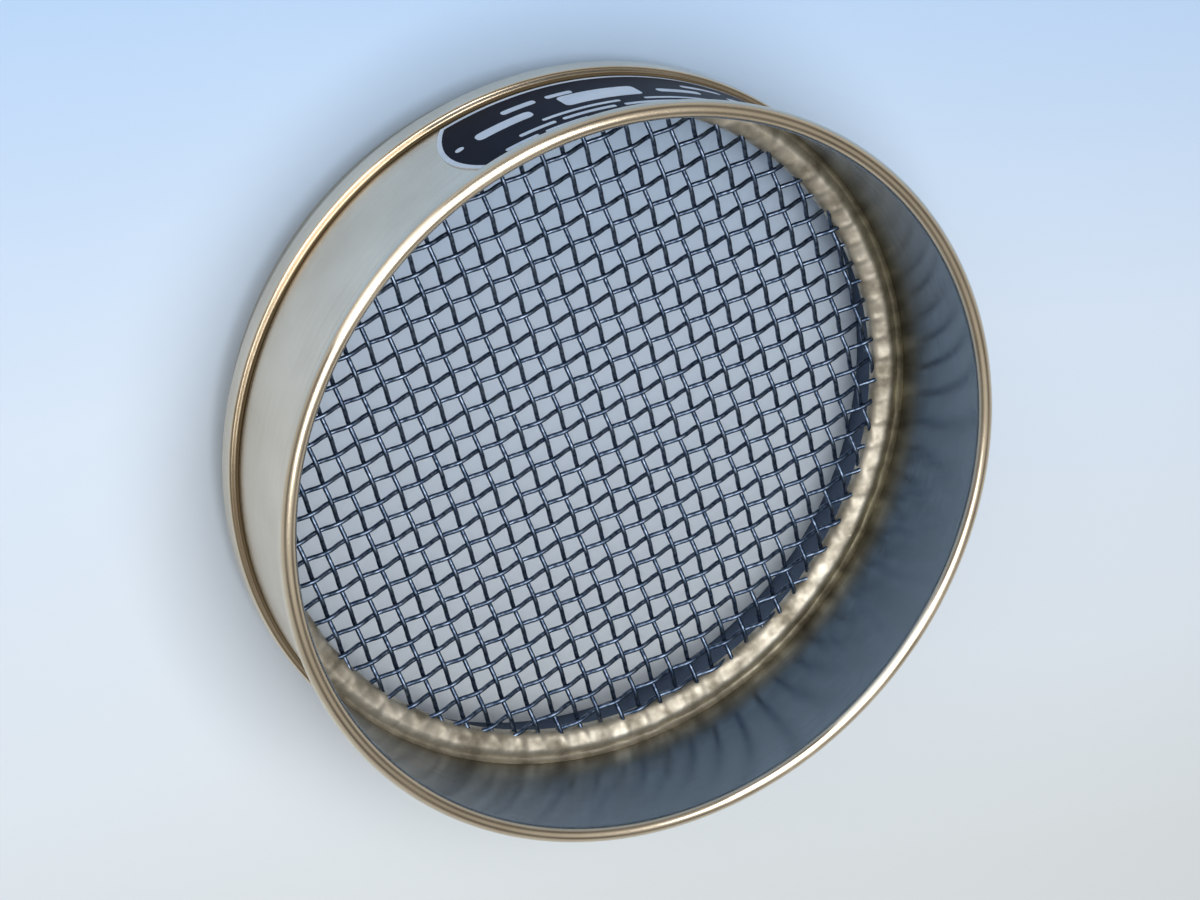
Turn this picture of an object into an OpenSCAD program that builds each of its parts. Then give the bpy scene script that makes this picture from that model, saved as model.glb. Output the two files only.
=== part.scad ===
// Laboratory test sieve: a spun frame, a skirt ring that nests in the sieve below,
// and a plain-woven wire cloth soldered in at the shoulder.
// Millimetres. +Z points up out of the open top, and z = 0 is the bottom edge of the skirt.

/* [Frame] */
// Inside diameter of the wall and of the open rim
bore_d = 203.4; // [150:0.1:310]
// Height over all, from the skirt's edge to the top of the rim
total_h = 66; // [50:0.5:90]
// Thickness of the frame's sheet
wall_t = 0.8; // [0.6:0.05:1]
// Outside diameter of the rolled rim
rim_roll_d = 4.8; // [4:0.1:7]

/* [Shoulder] */
// Height of the shoulder's top face
shoulder_z = 18.7; // [15:0.1:24]
// Height of the shoulder's underside, which rests on the rim of the sieve below
hem_z = 12.2; // [9:0.1:13]
// How far the shoulder stands out from the wall
shoulder_out = 2.5; // [2.4:0.1:4]
// Outside radius of the shoulder's bends
shoulder_bend = 1.1; // [1.05:0.05:1.15]

/* [Skirt] */
// Radial clearance of the skirt in the rim of the sieve below
nest_clearance = 0.4; // [0.2:0.05:0.6]
// Height of the tapered lead at the skirt's edge
lead_h = 6; // [2:0.5:8]
// How far the lead tapers in
lead_in = 1.5; // [0:0.1:2.5]

/* [Wire cloth] */
// Clear opening between two wires
aperture = 5; // [2.8:0.05:8]
// Diameter of a wire
wire_d = 1.35; // [1.2:0.05:2]
// Angle of the warp wires to the X axis
cloth_turn = 21.2; // [0:0.1:90]
// Place of the nearest warp wire to the axis, in pitches
warp_shift = 0.5; // [-0.5:0.01:0.5]
// Place of the nearest weft wire to the axis, in pitches
weft_shift = -0.16; // [-0.5:0.01:0.5]

/* [Solder] */
// Width of the solder ring, from the wall inwards
solder_w = 8.5; // [5:0.1:12]
// Height of the solder ring's crest above the cloth
solder_h = 1.8; // [1:0.1:3]
// Radius of the fillet between the solder ring and the wall
solder_fillet = 2.6; // [1.5:0.1:4]

/* [Label plate] */
// Length of the plate along the wall
label_w = 112; // [90:1:120]
// Bare wall above and below the plate
label_margin = 1.7; // [1:0.1:6]
// Radius of the plate's bowed ends
label_end_r = 34; // [24:1:42]
// Thickness of the plate
label_t = 0.4; // [0.3:0.05:0.8]

/* [Hidden] */
smooth = 96;
contact_gap = 0.05;
crossing_gap = 0.01;
edge_slack = 0.5;
covered_draft = 0.1;

bore_r = bore_d/2;
wall_r = bore_r + wall_t;
rim_r = rim_roll_d/2;
rim_z = total_h - rim_r;
mouth_a = acos((rim_r - wall_t - contact_gap)/rim_r);

foot_r = wall_r + shoulder_out;
flare_z = shoulder_z + shoulder_bend;
flat_w = shoulder_out - 2*shoulder_bend;

skirt_r = bore_r - nest_clearance;
flange_top = shoulder_z - wall_t;

pitch = aperture + wire_d;
cloth_r = bore_r - edge_slack;
crimp = wire_d/2 + crossing_gap;
cloth_mid = flange_top + crimp + wire_d/2;
cloth_top = cloth_mid + crimp + wire_d/2;
turns = ceil(cloth_r/pitch) + 1;

solder_top = cloth_top + solder_fillet;
draft_z = solder_top + 4*contact_gap;

label_h = total_h - rim_roll_d - flare_z - 2*label_margin;
label_z = flare_z + label_margin + label_h/2;

steel = [0.80, 0.78, 0.73];
dark_wire = [0.16, 0.18, 0.24];
solder_grey = [0.68, 0.65, 0.56];
plate_navy = [0.07, 0.08, 0.16];

// Inside radius of the wall, which is relieved a little behind the solder, below the clear bore
function wall_at(z) = bore_r + covered_draft*max(0, draft_z - z)/(draft_z - flare_z);

// A flat sector about the origin, from angle a0 to a1, as a cutter of radius r
module sector(r, a0, a1) {
    steps = 6;
    polygon(concat([[0, 0]], [for (i = [0 : steps]) let (a = a0 + (a1 - a0)*i/steps) r*[cos(a), sin(a)]]));
}

// The section of a sheet bent through an arc, with its outer radius r
module bend(r, a0, a1) {
    intersection() {
        difference() {
            circle(r, $fn = smooth);
            circle(r - wall_t, $fn = smooth);
        }
        sector(2*r, a0, a1);
    }
}

// The rim's roll: the sheet turns outward and back until its edge meets the wall
module rim_section() {
    translate([bore_r + rim_r, rim_z])
        difference() {
            circle(rim_r, $fn = smooth);
            circle(rim_r - wall_t, $fn = smooth);
            sector(2*rim_r, 180, 180 + mouth_a);
        }
}

// The shoulder: the sheet flares out, drops down and turns in under itself
module shoulder_section() {
    translate([wall_r + shoulder_bend, flare_z])
        bend(shoulder_bend + wall_t, 180, 270);
    translate([wall_r + shoulder_bend, flange_top])
        square([flat_w, wall_t]);
    translate([foot_r - shoulder_bend, shoulder_z - shoulder_bend])
        bend(shoulder_bend, 0, 90);
    translate([foot_r - wall_t, hem_z + shoulder_bend])
        square([wall_t, shoulder_z - hem_z - 2*shoulder_bend]);
    translate([foot_r - shoulder_bend, hem_z + shoulder_bend])
        bend(shoulder_bend, -90, 0);
    translate([skirt_r + contact_gap, hem_z])
        square([foot_r - shoulder_bend - skirt_r - contact_gap, wall_t]);
}

// One spun sheet: the rolled rim, the straight wall and the shoulder
module upper_frame() {
    color(steel)
        rotate_extrude($fn = smooth) {
            rim_section();
            polygon([
                [wall_at(flare_z), flare_z],
                [wall_r, flare_z],
                [wall_r, rim_z],
                [bore_r, rim_z],
                [bore_r, draft_z]
            ]);
            shoulder_section();
        }
}

// The skirt: a flange held in the shoulder, a neck, a straight seat and a tapered lead
module skirt_ring() {
    skirt_in = skirt_r - wall_t;
    neck_r = skirt_r - covered_draft;
    flange_r = foot_r - wall_t - contact_gap;
    flange_low = flange_top - wall_t;
    color(steel)
        rotate_extrude($fn = smooth)
            polygon([
                [skirt_in - lead_in, 0],
                [skirt_r - lead_in, 0],
                [skirt_r, lead_h],
                [skirt_r, hem_z],
                [neck_r, flange_low],
                [flange_r, flange_low],
                [flange_r, flange_top],
                [neck_r - wall_t, flange_top],
                [skirt_in, hem_z],
                [skirt_in, lead_h]
            ]);
}

// Height of a wire's centre line at x: level over each crossing, straight between them
function crimp_at(x, shift, k, side) =
    let (
        place = x/pitch - shift,
        crossing = round(place),
        away = abs(place - crossing)*pitch,
        up = (abs(crossing + k) % 2 == 0) ? side : -side,
        fall = max(0, away - wire_d/2)/(pitch/2 - wire_d/2)
    )
    up*crimp*(1 - fall);

// Where the centre line turns, between the wire's two ends
function turns_at(half, shift) = [
    for (j = [-turns : turns], edge = [-1, 1])
        let (x = (j + shift)*pitch + edge*wire_d/2)
        if (abs(x) < half - contact_gap) x
];

// One crimped wire along X, k wires from the middle of its own set
module crimped_wire(half, shift, k, side) {
    stops = concat([-half], turns_at(half, shift), [half]);
    top = [for (x = stops) [x, crimp_at(x, shift, k, side) + wire_d/2]];
    under = [for (i = [len(stops) - 1 : -1 : 0]) [stops[i], crimp_at(stops[i], shift, k, side) - wire_d/2]];
    rotate([90, 0, 0])
        linear_extrude(height = wire_d, center = true)
            polygon(concat(top, under));
}

// A set of parallel wires, each as long as the round cloth is at its place
module wire_set(own_shift, cross_shift, side) {
    for (k = [-turns : turns]) {
        off = (k + own_shift)*pitch;
        if (abs(off) < cloth_r - pitch/2)
            translate([0, off, cloth_mid])
                crimped_wire(sqrt(pow(cloth_r, 2) - pow(abs(off) + wire_d/2, 2)), cross_shift, k, side);
    }
}

module warp_wires() {
    color(dark_wire)
        rotate([0, 0, cloth_turn])
            wire_set(warp_shift, weft_shift, 1);
}

// The weft crosses the warp square: its X is the warp's Y, so its own places run the other way
module weft_wires() {
    color(dark_wire)
        rotate([0, 0, cloth_turn + 90])
            wire_set(-weft_shift, warp_shift, -1);
}

// The solder: a low crest over the cloth's edge and a fillet up the wall
module solder_ring() {
    dome_r = (pow(solder_w/2, 2) + pow(solder_h, 2))/(2*solder_h);
    color(solder_grey)
        rotate_extrude($fn = smooth) {
            intersection() {
                translate([bore_r - solder_w/2, cloth_top + solder_h - dome_r])
                    circle(dome_r, $fn = smooth);
                translate([bore_r - solder_w, cloth_top])
                    square([solder_w, solder_h + 1]);
            }
            difference() {
                polygon([
                    [wall_at(solder_top) - solder_fillet, cloth_top],
                    [wall_at(cloth_top), cloth_top],
                    [wall_at(solder_top), solder_top],
                    [wall_at(solder_top) - solder_fillet, solder_top]
                ]);
                translate([wall_at(solder_top) - solder_fillet, solder_top])
                    circle(solder_fillet, $fn = smooth);
            }
        }
}

// The label: a thin plate with bowed ends, curved to the wall at the front
module label_plate() {
    half_chord = wall_r*sin(label_w/wall_r*90/PI);
    end_x = half_chord - label_end_r;
    color(plate_navy)
        intersection() {
            difference() {
                cylinder(h = total_h, r = wall_r + label_t, $fn = smooth);
                cylinder(h = total_h, r = wall_r, $fn = smooth);
            }
            translate([0, 0, label_z])
                rotate([90, 0, 0])
                    linear_extrude(height = wall_r + label_t + 1)
                        intersection() {
                            square([2*half_chord, label_h], center = true);
                            union() {
                                square([2*end_x, label_h], center = true);
                                for (end = [-1, 1])
                                    translate([end*end_x, 0])
                                        circle(label_end_r, $fn = smooth);
                            }
                        }
        }
}

upper_frame();
skirt_ring();
warp_wires();
weft_wires();
solder_ring();
label_plate();
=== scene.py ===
"""Looks for the laboratory test sieve: spun frame, skirt, crimped wire cloth, solder and label.

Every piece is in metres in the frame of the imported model, with +Z up out of the open top.
"""

import math

import bpy
from mathutils import Matrix, Vector

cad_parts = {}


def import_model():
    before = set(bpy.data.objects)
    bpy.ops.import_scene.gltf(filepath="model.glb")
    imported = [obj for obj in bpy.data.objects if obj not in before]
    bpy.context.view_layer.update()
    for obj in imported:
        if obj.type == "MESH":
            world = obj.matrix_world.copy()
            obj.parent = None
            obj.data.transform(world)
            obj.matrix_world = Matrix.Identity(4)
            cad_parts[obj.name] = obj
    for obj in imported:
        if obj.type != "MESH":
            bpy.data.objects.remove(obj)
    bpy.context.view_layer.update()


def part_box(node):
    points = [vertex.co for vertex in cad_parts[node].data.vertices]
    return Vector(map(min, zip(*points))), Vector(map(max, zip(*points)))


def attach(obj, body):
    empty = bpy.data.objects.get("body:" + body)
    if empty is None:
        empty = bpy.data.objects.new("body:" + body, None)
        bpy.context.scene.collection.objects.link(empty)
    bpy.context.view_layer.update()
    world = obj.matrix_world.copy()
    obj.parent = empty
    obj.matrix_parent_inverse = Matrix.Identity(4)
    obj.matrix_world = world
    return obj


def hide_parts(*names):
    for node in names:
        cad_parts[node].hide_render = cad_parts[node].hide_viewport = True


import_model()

MM = 0.001

# ---------------------------------------------------------------- sizes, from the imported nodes

frame_low, frame_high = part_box("upper_frame")
_, skirt_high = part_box("skirt_ring")
cloth_low, cloth_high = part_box("warp_wires")
_, solder_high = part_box("solder_ring")
label_low, label_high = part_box("label_plate")

SHEET = 0.8 * MM
RIM_RADIUS = 2.4 * MM
RIM_MOUTH = math.radians(50)
BORE_RADIUS = frame_high.x - 2 * RIM_RADIUS
WALL_RADIUS = BORE_RADIUS + SHEET
RIM_Z = frame_high.z - RIM_RADIUS
HEM_Z = frame_low.z
SHOULDER_BEND = 1.1 * MM
SHOULDER_OUT = 2.5 * MM
SHOULDER_RADIUS = WALL_RADIUS + SHOULDER_OUT
SHOULDER_Z = skirt_high.z + SHEET
FLARE_Z = SHOULDER_Z + SHOULDER_BEND

NEST_CLEARANCE = 0.4 * MM
FIT_GAP = 0.05 * MM
SKIRT_RADIUS = BORE_RADIUS - NEST_CLEARANCE
SKIRT_NECK_IN = 0.1 * MM
SKIRT_LEAD_HEIGHT = 6 * MM
SKIRT_LEAD_IN = 1.5 * MM

WIRE_RADIUS = 0.675 * MM
PITCH = 6.35 * MM
CROSSING_GAP = 0.01 * MM
CRIMP = WIRE_RADIUS + CROSSING_GAP
CLOTH_Z = (cloth_low.z + cloth_high.z) / 2
CLOTH_EDGE_IN = 0.5 * MM
CLOTH_RADIUS = BORE_RADIUS - CLOTH_EDGE_IN
CLOTH_TURN = math.radians(21.2)
# Where the wire nearest the axis lies, in pitches
WARP_SHIFT = 0.5
WEFT_SHIFT = -0.16

SOLDER_WIDTH = 8.5 * MM
SOLDER_CREST_IN = 3.4 * MM
SOLDER_CREST_UP = 1.5 * MM
SOLDER_CREST_Z = cloth_high.z + SOLDER_CREST_UP
SOLDER_FILLET = 2.3 * MM
SOLDER_FILLET_SWEEP = math.radians(55)
# Points of the slope from the crest in over the cloth, in millimetres from the crest: out and up
SOLDER_SLOPE = ((-1.2, -0.35), (-2.4, -0.85), (-3.4, -1.25), (-4.2, -1.75), (-4.8, -2.5))
SOLDER_HUMP = 0.3 * MM
SOLDER_HUMP_HALF_WIDTH = 1.3 * WIRE_RADIUS
SOLDER_HUMP_FADE = 2 * MM
SOLDER_LUMP = 0.6 * MM
SOLDER_LUMP_SIZE = 5 * MM
SOLDER_LUMP_CLEAR_OF_WALL = 0.6 * MM

LABEL_THICKNESS = 0.4 * MM
LABEL_END_RADIUS = 34 * MM
LABEL_EDGE = 1.2 * MM
LABEL_STRIP = 2 * MM
PRINT_THICKNESS = 0.05 * MM

STEPS_ROUND_LATHE = 240
STEPS_ROUND_SOLDER = 900
STEPS_IN_RIM = 44
STEPS_IN_FLARE = 10
STEPS_IN_BEND = 6
STEPS_IN_HALF_CREST = 3
STEPS_IN_LABEL_END = 16
STEPS_IN_PRINT_CORNER = 5
SEGMENTS_ROUND_WIRE = 10
WELD_GAP = 0.001 * MM
LENGTHS_WELD_GAP = 0.01 * MM
SMOOTH_UP_TO = math.radians(40)


# ---------------------------------------------------------------- small helpers

def linear(code):
    """An sRGB hex colour as the linear RGBA that the shaders take."""
    channels = [int(code[i:i + 2], 16) / 255 for i in (1, 3, 5)]
    return [c / 12.92 if c <= 0.04045 else ((c + 0.055) / 1.055) ** 2.4 for c in channels] + [1]


def select_only(piece):
    if bpy.context.object and bpy.context.object.mode != "OBJECT":
        bpy.ops.object.mode_set(mode="OBJECT")
    bpy.ops.object.select_all(action="DESELECT")
    piece.select_set(True)
    bpy.context.view_layer.objects.active = piece


def added(name):
    """The primitive just added, with its place moved into its mesh."""
    piece = bpy.context.object
    select_only(piece)
    bpy.ops.object.transform_apply(location=True, rotation=True, scale=True)
    piece.name = name
    return piece


def duplicate(piece, name):
    select_only(piece)
    bpy.ops.object.duplicate()
    twin = bpy.context.object
    twin.name = name
    return twin


def modify(piece, kind, **settings):
    """Adds one modifier and applies it."""
    select_only(piece)
    modifier = piece.modifiers.new(kind.title(), kind)
    for key, value in settings.items():
        setattr(modifier, key, value)
    bpy.ops.object.modifier_apply(modifier=modifier.name)


def join(pieces, name):
    select_only(pieces[0])
    for piece in pieces:
        piece.select_set(True)
    bpy.ops.object.join()
    pieces[0].name = name
    return pieces[0]


def clean(piece):
    """Closes seams and turns the faces outward."""
    select_only(piece)
    bpy.ops.object.mode_set(mode="EDIT")
    bpy.ops.mesh.select_all(action="SELECT")
    bpy.ops.mesh.remove_doubles(threshold=WELD_GAP)
    bpy.ops.mesh.normals_make_consistent(inside=False)
    bpy.ops.object.mode_set(mode="OBJECT")


def finish(piece, material, slot, *replaced, more=()):
    """Smooth shading, materials, and what the frame has to know: body and replaced nodes. The slot
    is not used.
    """
    select_only(piece)
    bpy.ops.object.shade_smooth_by_angle(angle=SMOOTH_UP_TO)
    for finish_material in (material, *more):
        piece.data.materials.append(finish_material)
    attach(piece, "root")
    if replaced:
        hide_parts(*replaced)


# ---------------------------------------------------------------- drawing a section and turning it

def start_section(name, radius, z):
    """A single point at this radius and height, in edit mode, from which a section is drawn."""
    bpy.ops.object.select_all(action="DESELECT")
    bpy.ops.mesh.primitive_plane_add(size=SHEET)
    piece = added(name)
    bpy.ops.object.mode_set(mode="EDIT")
    bpy.ops.mesh.select_all(action="SELECT")
    bpy.ops.mesh.merge(type="CENTER")
    bpy.ops.transform.translate(value=(radius, 0, z))
    return piece, Vector((radius, 0, z))


def line_to(pen, radius, z):
    """Draws the section straight on to this radius and height."""
    end = Vector((radius, 0, z))
    bpy.ops.mesh.extrude_region_move(TRANSFORM_OT_translate={"value": end - pen})
    return end


def arc_about(pen, radius, z, angle, steps):
    """Draws the section on through an arc, counter-clockwise in the plane of radius and height."""
    centre = Vector((radius, 0, z))
    bpy.ops.mesh.spin(steps=steps, angle=angle, center=centre, axis=(0, 1, 0))
    return centre + Matrix.Rotation(-angle, 3, "Y") @ (pen - centre)


def turn_on_lathe(piece, steps=STEPS_ROUND_LATHE):
    """Turns the drawn section through a full circle about the sieve's axis."""
    bpy.ops.mesh.select_all(action="SELECT")
    bpy.ops.mesh.spin(steps=steps, angle=2 * math.pi, center=(0, 0, 0), axis=(0, 0, 1))
    bpy.ops.object.mode_set(mode="OBJECT")
    clean(piece)


# ---------------------------------------------------------------- materials

# How many marks of each pattern lie side by side in a millimetre of the real surface.
# Polishing leaves rings about 0.1 mm apart. They are too fine to show, so they are drawn 0.4 mm
# apart, and each changes over some 33 mm of its way round.
RINGS_PER_MM = 2.5
RING_CHANGES_PER_MM = 0.03
# Clouds as wide as a polishing pad presses, 25 mm
CLOUDS_PER_MM = 0.04
# Rubbed spots as long as the wire is thick, 1.4 mm
RUBBED_SPOTS_PER_MM = 0.7
# Ripples as far apart as the iron was moved, 3 mm, and stains as wide as a drop of flux, 6 mm
SOLDER_RIPPLES_PER_MM = 0.35
FLUX_STAINS_PER_MM = 0.17
# Slow changes in the enamel's shade, 11 mm, and its orange peel, 1.1 mm
ENAMEL_CLOUDS_PER_MM = 0.09
ORANGE_PEEL_PER_MM = 0.9

# How far the painted brown reflection of the solder climbs the wall over it
SOLDER_REFLECTION_UP = 10 * MM
# How sharply the painted shade in the groove begins, and how far it fades up the wall
GROOVE_SHADE_EDGE = 0.33 * MM
GROOVE_SHADE_FADE = 1.98 * MM
# Where the solder is painted darker, as shade and reflection by the wall: from just inside
# its crest to just outside, and from side to side
SHADE_STARTS_IN = 0.5 * MM
SHADE_FULL_OUT = 0.7 * MM
MOST_SHADED_X = -90 * MM
LEAST_SHADED_X = -20 * MM


def connect(tree, node, sockets):
    """Sets a node's sockets to values, or links them to other nodes' outputs."""
    for socket, value in sockets.items():
        if isinstance(value, bpy.types.NodeSocket):
            tree.links.new(value, node.inputs[socket])
        else:
            node.inputs[socket].default_value = value


def add_node(tree, kind, sockets=None, stops=(), **settings):
    """Adds a node with its settings, a ramp's stops, and its sockets' values and links."""
    made = tree.nodes.new(kind)
    for key, value in settings.items():
        setattr(made, key, value)
    if stops:
        elements = made.color_ramp.elements
        while len(elements) < len(stops):
            elements.new(0.5)
        for element, (position, code) in zip(elements, stops):
            element.position = position
            element.color = linear(code)
    connect(tree, made, sockets or {})
    return made


def new_material(name):
    """A material with its tree, its Principled shader and the object's own coordinates."""
    material = bpy.data.materials.new(name)
    material.use_nodes = True
    tree = material.node_tree
    place = add_node(tree, "ShaderNodeTexCoord").outputs["Object"]
    return material, tree, tree.nodes["Principled BSDF"], place


def from_axis(tree, place, operation, output):
    """The way out from the sieve's axis to each point: its direction or its length."""
    flat = add_node(tree, "ShaderNodeVectorMath", {0: place, 1: (1, 1, 0)}, operation="MULTIPLY")
    out = add_node(tree, "ShaderNodeVectorMath", {0: flat.outputs["Vector"]}, operation=operation)
    return out.outputs[output]


def share_up(z):
    """A height as a share of the sieve's whole height, which is how the ramps count it."""
    return z / frame_high.z


def spun_stainless():
    """Stainless sheet, spun on a lathe and polished: a mirror shine with fine rings round the axis.

    Outside it looks warm and pale, with painted shade, a brown band, in the groove over the
    shoulder. Inside it is painted darker and bluish, a painted reflection of the shaded cloth,
    darkest low down and brown just over the solder as a painted reflection of it.
    """
    material, tree, shader, place = new_material("stainless_steel_spun_polished")
    rings = add_node(tree, "ShaderNodeMapping", {
        "Vector": place,
        "Scale": (RING_CHANGES_PER_MM / MM, RING_CHANGES_PER_MM / MM, RINGS_PER_MM / MM)})
    ring_noise = add_node(tree, "ShaderNodeTexNoise", {
        "Vector": rings.outputs["Vector"], "Scale": 1.0, "Detail": 3.0, "Roughness": 0.6})
    cloudy = add_node(tree, "ShaderNodeTexNoise", {
        "Vector": place, "Scale": CLOUDS_PER_MM / MM, "Detail": 4.0})
    warm = add_node(tree, "ShaderNodeValToRGB", {"Fac": cloudy.outputs["Fac"]},
                    stops=[(0.3, "#cfc2ae"), (0.7, "#dfd3c0")])
    height = add_node(tree, "ShaderNodeSeparateXYZ", {"Vector": place}).outputs["Z"]
    climb = add_node(tree, "ShaderNodeMapRange", {"Value": height, "From Max": frame_high.z})
    # Painted reflection: inside, the steel is painted darker and bluish like the shaded cloth it
    # mirrors, darkest low down, and brown just over the solder where it mirrors the solder
    painted_inside_reflection = add_node(tree, "ShaderNodeValToRGB", {"Fac": climb.outputs["Result"]}, stops=[
        (share_up(CLOTH_Z), "#5c687b"), (share_up(solder_high.z), "#6f6b63"),
        (share_up(solder_high.z + SOLDER_REFLECTION_UP), "#6f7f8e"), (1.0, "#a3b0b9")])
    # Painted shade: a brown band darkens the groove over the shoulder
    groove_shade = add_node(tree, "ShaderNodeValToRGB", {"Fac": climb.outputs["Result"]}, stops=[
        (share_up(SHOULDER_Z - GROOVE_SHADE_EDGE), "#ffffff"),
        (share_up(SHOULDER_Z + GROOVE_SHADE_EDGE), "#8a7a60"),
        (share_up(FLARE_Z), "#8a7a60"),
        (share_up(FLARE_Z + GROOVE_SHADE_FADE), "#ffffff")])
    groove_shaded = add_node(tree, "ShaderNodeMix", {
        "Factor": 1.0, "A": warm.outputs["Color"], "B": groove_shade.outputs["Color"]},
        data_type="RGBA", blend_type="MULTIPLY")
    # Faces turned in to the axis take the painted reflection; the rest take the pale tint and the
    # groove's painted shade
    facing = add_node(tree, "ShaderNodeTexCoord").outputs["Normal"]
    outward = add_node(tree, "ShaderNodeVectorMath", {
        0: facing, 1: from_axis(tree, place, "NORMALIZE", "Vector")}, operation="DOT_PRODUCT")
    outside = add_node(tree, "ShaderNodeMapRange", {
        "Value": outward.outputs["Value"], "From Min": -0.95, "From Max": -0.6})
    tint = add_node(tree, "ShaderNodeMix", {
        "Factor": outside.outputs["Result"], "A": painted_inside_reflection.outputs["Color"],
        "B": groove_shaded.outputs["Result"]}, data_type="RGBA")
    rough = add_node(tree, "ShaderNodeMapRange", {
        "Value": ring_noise.outputs["Fac"], "From Min": 0.3, "From Max": 0.7,
        "To Min": 0.14, "To Max": 0.28})
    bump = add_node(tree, "ShaderNodeBump", {
        "Height": ring_noise.outputs["Fac"], "Strength": 0.12, "Distance": 0.05 * MM})
    around = add_node(tree, "ShaderNodeTangent", direction_type="RADIAL", axis="Z")
    connect(tree, shader, {
        "Base Color": tint.outputs["Result"], "Roughness": rough.outputs["Result"],
        "Normal": bump.outputs["Normal"], "Tangent": around.outputs["Tangent"],
        "Anisotropic": 0.8, "Anisotropic Rotation": 0.25, "Metallic": 1.0})
    return material


def drawn_wire():
    """Steel wire, drawn and woven: dark, with a dull sheen, rubbed brighter here and there."""
    material, tree, shader, place = new_material("steel_wire_drawn_woven")
    rubbed = add_node(tree, "ShaderNodeTexNoise", {
        "Vector": place, "Scale": RUBBED_SPOTS_PER_MM / MM, "Detail": 3.0})
    tint = add_node(tree, "ShaderNodeValToRGB", {"Fac": rubbed.outputs["Fac"]},
                    stops=[(0.35, "#35445a"), (0.75, "#77859a")])
    rough = add_node(tree, "ShaderNodeMapRange", {
        "Value": rubbed.outputs["Fac"], "From Min": 0.3, "From Max": 0.7,
        "To Min": 0.45, "To Max": 0.28})
    bump = add_node(tree, "ShaderNodeBump", {
        "Height": rubbed.outputs["Fac"], "Strength": 0.3, "Distance": 0.04 * MM})
    connect(tree, shader, {
        "Base Color": tint.outputs["Color"], "Roughness": rough.outputs["Result"],
        "Normal": bump.outputs["Normal"], "Metallic": 1.0})
    return material


def flowed_solder():
    """Tin solder, run in by hand with an iron: a soft beige metal with ripples and dull stains.

    Between its crest and the wall it is painted olive brown, a painted shade and reflection,
    most of all on the -X side.
    """
    material, tree, shader, place = new_material("tin_solder_flowed")
    ripples = add_node(tree, "ShaderNodeTexNoise", {
        "Vector": place, "Scale": SOLDER_RIPPLES_PER_MM / MM, "Detail": 4.0})
    stains = add_node(tree, "ShaderNodeTexNoise", {
        "Vector": place, "Scale": FLUX_STAINS_PER_MM / MM, "Detail": 4.0})
    clean_metal = add_node(tree, "ShaderNodeValToRGB", {"Fac": stains.outputs["Fac"]},
                           stops=[(0.3, "#8a8374"), (0.5, "#b0a99b"), (0.75, "#cec8bb")])
    # Painted shade and reflection: olive brown by the wall, deepest on the -X side
    painted_fillet_shade = add_node(tree, "ShaderNodeValToRGB", {"Fac": stains.outputs["Fac"]},
                     stops=[(0.3, "#5d5747"), (0.7, "#9f9984")])
    by_wall = add_node(tree, "ShaderNodeMapRange", {
        "Value": from_axis(tree, place, "LENGTH", "Value"),
        "From Min": BORE_RADIUS - SOLDER_CREST_IN - SHADE_STARTS_IN,
        "From Max": BORE_RADIUS - SOLDER_CREST_IN + SHADE_FULL_OUT})
    across = add_node(tree, "ShaderNodeSeparateXYZ", {"Vector": place}).outputs["X"]
    by_side = add_node(tree, "ShaderNodeMapRange", {
        "Value": across, "From Min": MOST_SHADED_X, "From Max": LEAST_SHADED_X,
        "To Min": 1.0, "To Max": 0.2})
    fillet_shade_mask = add_node(tree, "ShaderNodeMath", {
        0: by_wall.outputs["Result"], 1: by_side.outputs["Result"]}, operation="MULTIPLY")
    tint = add_node(tree, "ShaderNodeMix", {
        "Factor": fillet_shade_mask.outputs["Value"], "A": clean_metal.outputs["Color"],
        "B": painted_fillet_shade.outputs["Color"]}, data_type="RGBA")
    rough = add_node(tree, "ShaderNodeMapRange", {
        "Value": stains.outputs["Fac"], "From Min": 0.3, "From Max": 0.7,
        "To Min": 0.65, "To Max": 0.42})
    bump = add_node(tree, "ShaderNodeBump", {
        "Height": ripples.outputs["Fac"], "Strength": 0.35, "Distance": 0.15 * MM})
    connect(tree, shader, {
        "Base Color": tint.outputs["Result"], "Roughness": rough.outputs["Result"],
        "Normal": bump.outputs["Normal"], "Metallic": 0.9})
    return material


def enamelled_plate(name, dark, light):
    """Enamel baked on thin sheet: an even glossy colour with a faint orange-peel surface."""
    material, tree, shader, place = new_material(name)
    cloudy = add_node(tree, "ShaderNodeTexNoise", {
        "Vector": place, "Scale": ENAMEL_CLOUDS_PER_MM / MM, "Detail": 3.0})
    tint = add_node(tree, "ShaderNodeValToRGB", {"Fac": cloudy.outputs["Fac"]},
                    stops=[(0.3, dark), (0.7, light)])
    peel = add_node(tree, "ShaderNodeTexNoise", {
        "Vector": place, "Scale": ORANGE_PEEL_PER_MM / MM})
    bump = add_node(tree, "ShaderNodeBump", {
        "Height": peel.outputs["Fac"], "Strength": 0.15, "Distance": 0.05 * MM})
    connect(tree, shader, {
        "Base Color": tint.outputs["Color"], "Normal": bump.outputs["Normal"],
        "Roughness": 0.4, "IOR": 1.12})
    return material


STEEL = spun_stainless()
WIRE = drawn_wire()
SOLDER = flowed_solder()
NAVY = enamelled_plate("enamel_baked_navy", "#060615", "#0e0d22")
PALE = enamelled_plate("enamel_baked_pale", "#d6dbe2", "#eef0f2")


# ---------------------------------------------------------------- spun frame and skirt

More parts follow.
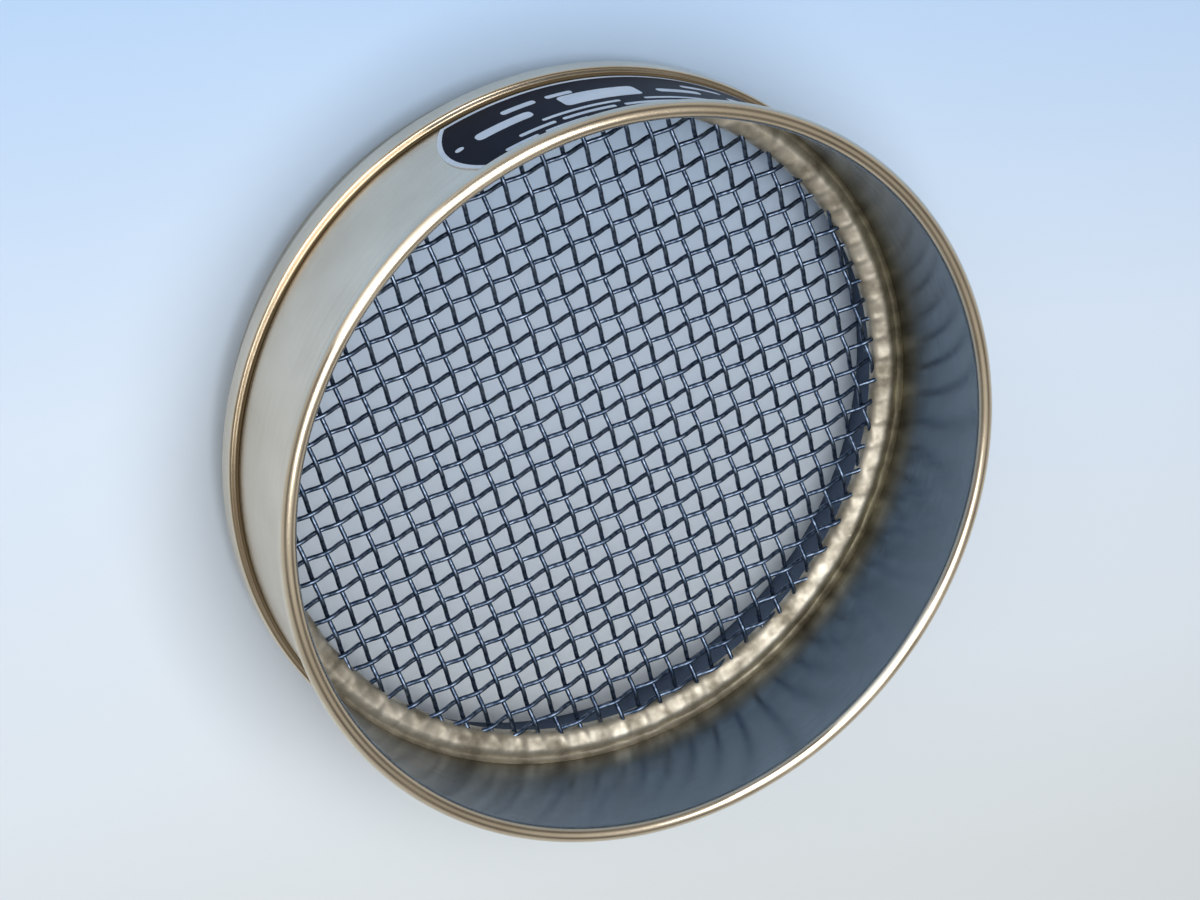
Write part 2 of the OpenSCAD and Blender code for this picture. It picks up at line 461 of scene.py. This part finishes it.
def spun_frame():
    """The rolled rim, the wall and the shoulder, drawn along the sheet's inner face."""
    roll_radius = BORE_RADIUS + RIM_RADIUS
    flare_radius = WALL_RADIUS + SHOULDER_BEND
    side_radius = SHOULDER_RADIUS - SHOULDER_BEND
    piece, pen = start_section("spun_frame", roll_radius - RIM_RADIUS * math.cos(RIM_MOUTH),
                               RIM_Z - RIM_RADIUS * math.sin(RIM_MOUTH))
    pen = arc_about(pen, roll_radius, RIM_Z, 2 * math.pi - RIM_MOUTH, STEPS_IN_RIM)
    pen = line_to(pen, BORE_RADIUS, FLARE_Z)
    pen = arc_about(pen, flare_radius, FLARE_Z, math.pi / 2, STEPS_IN_FLARE)
    pen = line_to(pen, side_radius, pen.z)
    pen = arc_about(pen, side_radius, SHOULDER_Z - SHOULDER_BEND, -math.pi / 2, STEPS_IN_BEND)
    pen = line_to(pen, pen.x, HEM_Z + SHOULDER_BEND)
    pen = arc_about(pen, side_radius, HEM_Z + SHOULDER_BEND, -math.pi / 2, STEPS_IN_BEND)
    line_to(pen, SKIRT_RADIUS + FIT_GAP, pen.z)
    turn_on_lathe(piece)
    modify(piece, "SOLIDIFY", thickness=SHEET, offset=-1.0, use_even_offset=True)
    finish(piece, STEEL, "frame_steel", "upper_frame")
    return piece


def skirt():
    """The tapered lead, the straight seat, the neck and the flange, drawn along the outer face."""
    piece, pen = start_section("skirt", SKIRT_RADIUS - SKIRT_LEAD_IN, 0)
    pen = line_to(pen, SKIRT_RADIUS, SKIRT_LEAD_HEIGHT)
    pen = line_to(pen, SKIRT_RADIUS, HEM_Z)
    pen = line_to(pen, SKIRT_RADIUS - SKIRT_NECK_IN, skirt_high.z - SHEET)
    line_to(pen, skirt_high.x, skirt_high.z - SHEET)
    turn_on_lathe(piece)
    modify(piece, "SOLIDIFY", thickness=SHEET, offset=1.0, use_even_offset=True)
    finish(piece, STEEL, "frame_steel", "skirt_ring")


# ---------------------------------------------------------------- wire cloth

def crimped_length(periods):
    """A long wire along X, crimped as it is before weaving, that starts at a crest at x = 0."""
    turn = 2 * math.atan(2 * CRIMP / PITCH)
    bend = PITCH / 2 / math.sin(turn)
    bpy.ops.object.select_all(action="DESELECT")
    bpy.ops.mesh.primitive_circle_add(vertices=SEGMENTS_ROUND_WIRE, radius=WIRE_RADIUS,
                                      location=(0, 0, CRIMP), rotation=(0, math.pi / 2, 0))
    wire = added("crimped_wire")
    bpy.ops.object.mode_set(mode="EDIT")
    bpy.ops.mesh.select_all(action="SELECT")
    crest, trough, next_crest = (0, -1), (PITCH, 1), (2 * PITCH, -1)
    for x, side in (crest, trough, trough, next_crest):
        bpy.ops.mesh.spin(steps=STEPS_IN_HALF_CREST, angle=side * turn,
                          center=(x, 0, side * (bend - CRIMP)), axis=(0, 1, 0))
    bpy.ops.object.mode_set(mode="OBJECT")
    modify(wire, "ARRAY", count=periods, use_relative_offset=False, use_constant_offset=True,
           constant_offset_displace=(2 * PITCH, 0, 0), use_merge_vertices=True,
           merge_threshold=LENGTHS_WELD_GAP)
    clean(wire)
    return wire


def cut_to(wire, half):
    """Cuts the wire off square at both ends, this far from the middle."""
    select_only(wire)
    bpy.ops.object.mode_set(mode="EDIT")
    for end in (-1, 1):
        bpy.ops.mesh.select_all(action="SELECT")
        bpy.ops.mesh.bisect(plane_co=(end * half, 0, 0), plane_no=(end, 0, 0), use_fill=True,
                            clear_outer=True, threshold=WELD_GAP)
    bpy.ops.object.mode_set(mode="OBJECT")


def wire_set(stock, name, turn, own_shift, cross_shift, side):
    """One set of parallel wires, each cut from the stock to the cloth's width at its place."""
    reach = math.ceil(CLOTH_RADIUS / PITCH) + 1
    wires = []
    for k in range(-reach, reach + 1):
        off = (k + own_shift) * PITCH
        if abs(off) >= CLOTH_RADIUS - PITCH / 2:
            continue
        wire = duplicate(stock, name)
        # The stock is moved back so that a crest lies on the first crossing that this wire tops
        first_over = (k + (0 if side > 0 else 1)) % 2
        start = first_over - 2 * math.ceil(reach / 2) + cross_shift
        bpy.ops.transform.translate(value=(start * PITCH, 0, 0))
        bpy.ops.object.transform_apply(location=True)
        cut_to(wire, math.sqrt(CLOTH_RADIUS ** 2 - (abs(off) + WIRE_RADIUS) ** 2))
        wire.location = (-off * math.sin(turn), off * math.cos(turn), CLOTH_Z)
        wire.rotation_euler.z = turn
        select_only(wire)
        bpy.ops.object.transform_apply(location=True, rotation=True)
        wires.append(wire)
    cloth = join(wires, name)
    clean(cloth)
    return cloth


def wire_cloth():
    """Warp and weft, each wire over one and under the next of the other set."""
    periods = 2 * math.ceil(CLOTH_RADIUS / PITCH) + 2
    stock = crimped_length(periods)
    warp = wire_set(stock, "warp_cloth", CLOTH_TURN, WARP_SHIFT, WEFT_SHIFT, 1)
    weft = wire_set(stock, "weft_cloth", CLOTH_TURN + math.pi / 2, -WEFT_SHIFT, WARP_SHIFT, -1)
    bpy.data.objects.remove(stock)
    finish(warp, WIRE, "cloth_wire", "warp_wires")
    finish(weft, WIRE, "cloth_wire", "weft_wires")


# ---------------------------------------------------------------- solder

def wire_lines():
    """Each wire in plan, as its turn and its distance from the axis."""
    reach = math.ceil(CLOTH_RADIUS / PITCH)
    sets = ((CLOTH_TURN, WARP_SHIFT), (CLOTH_TURN + math.pi / 2, -WEFT_SHIFT))
    return [(turn, (k + shift) * PITCH) for turn, shift in sets for k in range(-reach, reach + 1)]


def weight_top(piece, name, weight_at):
    """A vertex group whose weights come from each point's place, for a modifier to follow."""
    group = piece.vertex_groups.new(name=name)
    for vertex in piece.data.vertices:
        group.add([vertex.index], weight_at(vertex.co), "REPLACE")
    return group.name


def solder_bead():
    """The solder over the cloth's edge: a lumpy crest, a fillet to the wall, humps over wires."""
    wall = BORE_RADIUS
    inner = BORE_RADIUS - SOLDER_WIDTH
    crest = BORE_RADIUS - SOLDER_CREST_IN
    piece, pen = start_section("solder_bead", wall, skirt_high.z)
    pen = line_to(pen, wall, solder_high.z)
    pen = arc_about(pen, wall - SOLDER_FILLET, solder_high.z, -SOLDER_FILLET_SWEEP, STEPS_IN_BEND)
    pen = line_to(pen, crest, SOLDER_CREST_Z)
    for out, up in SOLDER_SLOPE:
        pen = line_to(pen, crest + out * MM, SOLDER_CREST_Z + up * MM)
    pen = line_to(pen, inner, CLOTH_Z - WIRE_RADIUS)
    pen = line_to(pen, inner, skirt_high.z)
    line_to(pen, wall, skirt_high.z)
    turn_on_lathe(piece, STEPS_ROUND_SOLDER)

    lines = wire_lines()

    def over_wires(place):
        radius = math.hypot(place.x, place.y)
        if radius > crest or place.z < CLOTH_Z - WIRE_RADIUS:
            return 0
        near = min(abs(place.y * math.cos(turn) - place.x * math.sin(turn) - off)
                   for turn, off in lines)
        hump = math.exp(-(near / SOLDER_HUMP_HALF_WIDTH) ** 2)
        return hump * min(1, (crest - radius) / SOLDER_HUMP_FADE)

    def on_top(place):
        clear = math.hypot(place.x, place.y) < wall - SOLDER_LUMP_CLEAR_OF_WALL
        return 1 if place.z > CLOTH_Z and clear else 0

    humps = weight_top(piece, "over_wires", over_wires)
    modify(piece, "DISPLACE", direction="Z", strength=SOLDER_HUMP, mid_level=0.0,
           vertex_group=humps)
    lumps = bpy.data.textures.new("solder_lumps", "CLOUDS")
    lumps.noise_scale = SOLDER_LUMP_SIZE
    top = weight_top(piece, "top", on_top)
    modify(piece, "DISPLACE", texture=lumps, texture_coords="LOCAL", strength=SOLDER_LUMP,
           vertex_group=top)
    clean(piece)
    finish(piece, SOLDER, "solder", "solder_ring")


# ---------------------------------------------------------------- label

def fill_flat():
    """Closes the drawn outline and makes one flat face of it."""
    bpy.ops.mesh.select_all(action="SELECT")
    bpy.ops.mesh.remove_doubles(threshold=WELD_GAP)
    bpy.ops.mesh.edge_face_add()


def bowed_plate(name, half_length, half_height, z):
    """A flat upright plate with bowed ends, and a narrow edge line inside its outline."""
    centre = half_length - LABEL_END_RADIUS
    sweep = math.asin(half_height / LABEL_END_RADIUS)
    corner = centre + LABEL_END_RADIUS * math.cos(sweep)
    plate, pen = start_section(name, corner, z - half_height)
    pen = arc_about(pen, centre, z, 2 * sweep, STEPS_IN_LABEL_END)
    pen = line_to(pen, -corner, z + half_height)
    pen = arc_about(pen, -centre, z, 2 * sweep, STEPS_IN_LABEL_END)
    line_to(pen, corner, z - half_height)
    fill_flat()
    bpy.ops.mesh.inset(thickness=LABEL_EDGE)
    bpy.ops.object.mode_set(mode="OBJECT")
    return plate


def printed_field(name, x, z, length, height, corner):
    """A flat field of print with rounded corners, its middle at x and z."""
    bpy.ops.object.select_all(action="DESELECT")
    bpy.ops.mesh.primitive_plane_add(size=1, location=(x, 0, z), rotation=(math.pi / 2, 0, 0))
    bpy.context.object.scale = (length, height, 1)
    field = added(name)
    bpy.ops.object.mode_set(mode="EDIT")
    bpy.ops.mesh.select_all(action="SELECT")
    bpy.ops.mesh.bevel(offset=corner, segments=STEPS_IN_PRINT_CORNER, affect="VERTICES")
    bpy.ops.object.mode_set(mode="OBJECT")
    return field


def lay_on_wall(plate, wall_piece, lift, thickness):
    """Cuts a flat shape into strips, lays it on the front of the wall and gives it a thickness."""
    select_only(plate)
    low = min(v.co.x for v in plate.data.vertices)
    high = max(v.co.x for v in plate.data.vertices)
    bpy.ops.object.mode_set(mode="EDIT")
    for i in range(math.ceil(low / LABEL_STRIP), math.ceil(high / LABEL_STRIP)):
        bpy.ops.mesh.select_all(action="SELECT")
        bpy.ops.mesh.bisect(plane_co=(i * LABEL_STRIP, 0, 0), plane_no=(1, 0, 0))
    bpy.ops.mesh.select_all(action="SELECT")
    bpy.ops.transform.translate(value=(0, -2 * WALL_RADIUS, 0))
    bpy.ops.object.mode_set(mode="OBJECT")
    modify(plate, "SHRINKWRAP", target=wall_piece, wrap_method="PROJECT", use_project_y=True,
           use_positive_direction=True, wrap_mode="ABOVE_SURFACE", offset=lift + thickness / 2)
    modify(plate, "SOLIDIFY", thickness=thickness, offset=0.0, use_even_offset=True)
    clean(plate)


# Plain printed fields in millimetres: the middle along the plate and its height over the plate's
# own middle, then the length, the height and the corner radius
PRINT_FIELDS = [
    (49.0, -1.6, 2.2, 2.2, 1.0), (-49.0, -1.6, 2.2, 2.2, 1.0),
    (36.5, -2.0, 15.5, 4.6, 1.6), (29.5, -9.4, 9.5, 2.8, 1.0), (18.0, -9.4, 7.5, 2.4, 0.8),
    (9.0, -3.0, 22.0, 8.6, 1.6), (-14.0, -2.6, 13.0, 3.2, 1.2), (-36.0, -2.0, 14.5, 4.2, 1.6),
    (-24.0, -9.4, 12.0, 2.4, 0.8), (18.0, 5.4, 22.0, 1.6, 0.6), (-13.0, 5.4, 26.0, 1.6, 0.6),
    (32.0, 9.4, 10.0, 1.8, 0.6), (17.5, 9.4, 15.0, 1.8, 0.6), (-2.0, 9.4, 19.0, 1.8, 0.6),
    (-24.0, 9.4, 17.0, 1.8, 0.6), (38.0, 13.6, 9.0, 1.8, 0.6), (25.5, 13.6, 12.0, 1.8, 0.6),
    (9.5, 13.6, 15.0, 1.8, 0.6), (-8.5, 13.6, 16.0, 1.8, 0.6), (-28.0, 13.6, 18.0, 1.8, 0.6),
]


def label(wall_piece):
    """The navy plate with its pale edge line, and plain printed fields on it."""
    z = (label_low.z + label_high.z) / 2
    half_height = (label_high.z - label_low.z) / 2
    plate = bowed_plate("label_plate_enamelled", label_high.x, half_height, z)
    for face in plate.data.polygons:
        face.material_index = 0 if face.select else 1
    lay_on_wall(plate, wall_piece, 0, LABEL_THICKNESS - PRINT_THICKNESS)
    finish(plate, NAVY, "label", "label_plate", more=[PALE])
    fields = []
    for x, up, length, height, corner in PRINT_FIELDS:
        field = printed_field("label_field", x * MM, z + up * MM, length * MM, height * MM,
                              corner * MM)
        lay_on_wall(field, wall_piece, LABEL_THICKNESS - PRINT_THICKNESS, PRINT_THICKNESS)
        fields.append(field)
    finish(join(fields, "label_print"), PALE, "label")


frame_piece = spun_frame()
skirt()
wire_cloth()
solder_bead()
label(frame_piece)

# ---------------------------------------------------------------- floor, light and camera

FLOOR_SIDE = 6.0
# Where the paper's grade begins at the front and ends at the back
GRADE_FRONT_Y = -140 * MM
GRADE_BACK_Y = 180 * MM


def background_paper():
    """Matt background paper, graduated from a pale blue at the front to a pale grey at the back."""
    material, tree, shader, place = new_material("background_paper_matt")
    along = add_node(tree, "ShaderNodeSeparateXYZ", {"Vector": place}).outputs["Y"]
    grade = add_node(tree, "ShaderNodeMapRange", {
        "Value": along, "From Min": GRADE_FRONT_Y, "From Max": GRADE_BACK_Y})
    tint = add_node(tree, "ShaderNodeValToRGB", {"Fac": grade.outputs["Result"]}, stops=[
        (0.0, "#b6d3f3"), (0.4, "#dae7f5"), (0.75, "#e2e9ee"), (1.0, "#e0e4e2")])
    connect(tree, shader, {"Base Color": tint.outputs["Color"], "Roughness": 0.9})
    return material


def floor():
    bpy.ops.object.select_all(action="DESELECT")
    bpy.ops.mesh.primitive_plane_add(size=FLOOR_SIDE)
    piece = added("floor")
    piece.data.materials.append(background_paper())


def area_lamp(name, place, size, power):
    """A square soft box that points at the middle of the cloth."""
    data = bpy.data.lights.new(name, "AREA")
    data.shape = "SQUARE"
    data.size = size
    data.energy = power
    lamp = bpy.data.objects.new(name, data)
    lamp.location = place
    towards_cloth = Vector((0, 0, CLOTH_Z)) - Vector(place)
    lamp.rotation_euler = towards_cloth.to_track_quat("-Z", "Y").to_euler()
    bpy.context.scene.collection.objects.link(lamp)


def world():
    """A plain studio, as an even grey light.

    Shiny metal sees pale walls in it, a dark band high up and a pale ceiling over the sieve.
    """
    made = bpy.data.worlds.new("studio")
    made.use_nodes = True
    tree = made.node_tree
    direction = add_node(tree, "ShaderNodeTexCoord").outputs["Generated"]
    height = add_node(tree, "ShaderNodeSeparateXYZ", {"Vector": direction}).outputs["Z"]
    room = add_node(tree, "ShaderNodeValToRGB", {"Fac": height}, stops=[
        (0.0, "#ece9e2"), (0.38, "#d8d6d0"), (0.58, "#6f6b65"), (0.74, "#6f6b65"),
        (0.88, "#e6e2d8"), (1.0, "#fffaf0")])
    glossy = add_node(tree, "ShaderNodeLightPath").outputs["Is Glossy Ray"]
    seen = add_node(tree, "ShaderNodeMix", {
        "Factor": glossy, "A": linear("#838a94"), "B": room.outputs["Color"]}, data_type="RGBA")
    connect(tree, tree.nodes["Background"], {"Color": seen.outputs["Result"], "Strength": 0.8})
    bpy.context.scene.world = made


# Where the camera stands, the way it looks and the way that is up for it
VIEW_FROM = Vector((333.4, -284.6, 714.2)) * MM
VIEW_ALONG = Vector((-0.4098, 0.3523, -0.8414))
VIEW_UP = Vector((-0.1102, -0.9348, -0.3377))
# Its focal length and the width of its sensor, in millimetres
LENS = 87.15
SENSOR = 36.0


def camera():
    """Looks steeply down into the sieve, rolled so that the open rim lies to the lower right."""
    data = bpy.data.cameras.new("camera")
    data.lens = LENS
    data.sensor_width = SENSOR
    made = bpy.data.objects.new("camera", data)
    along = VIEW_ALONG.normalized()
    right = along.cross(VIEW_UP).normalized()
    up = right.cross(along)
    turn = Matrix((right, up, -along)).transposed().to_4x4()
    made.matrix_world = Matrix.Translation(VIEW_FROM) @ turn
    bpy.context.scene.collection.objects.link(made)
    bpy.context.scene.camera = made


floor()
area_lamp("soft_box_high", (0.08, -0.16, 1.50), size=1.1, power=19)
area_lamp("soft_box_low", (0.7, -0.6, 0.9), size=0.7, power=2)
world()
camera()
bpy.context.scene.view_settings.view_transform = "Standard"
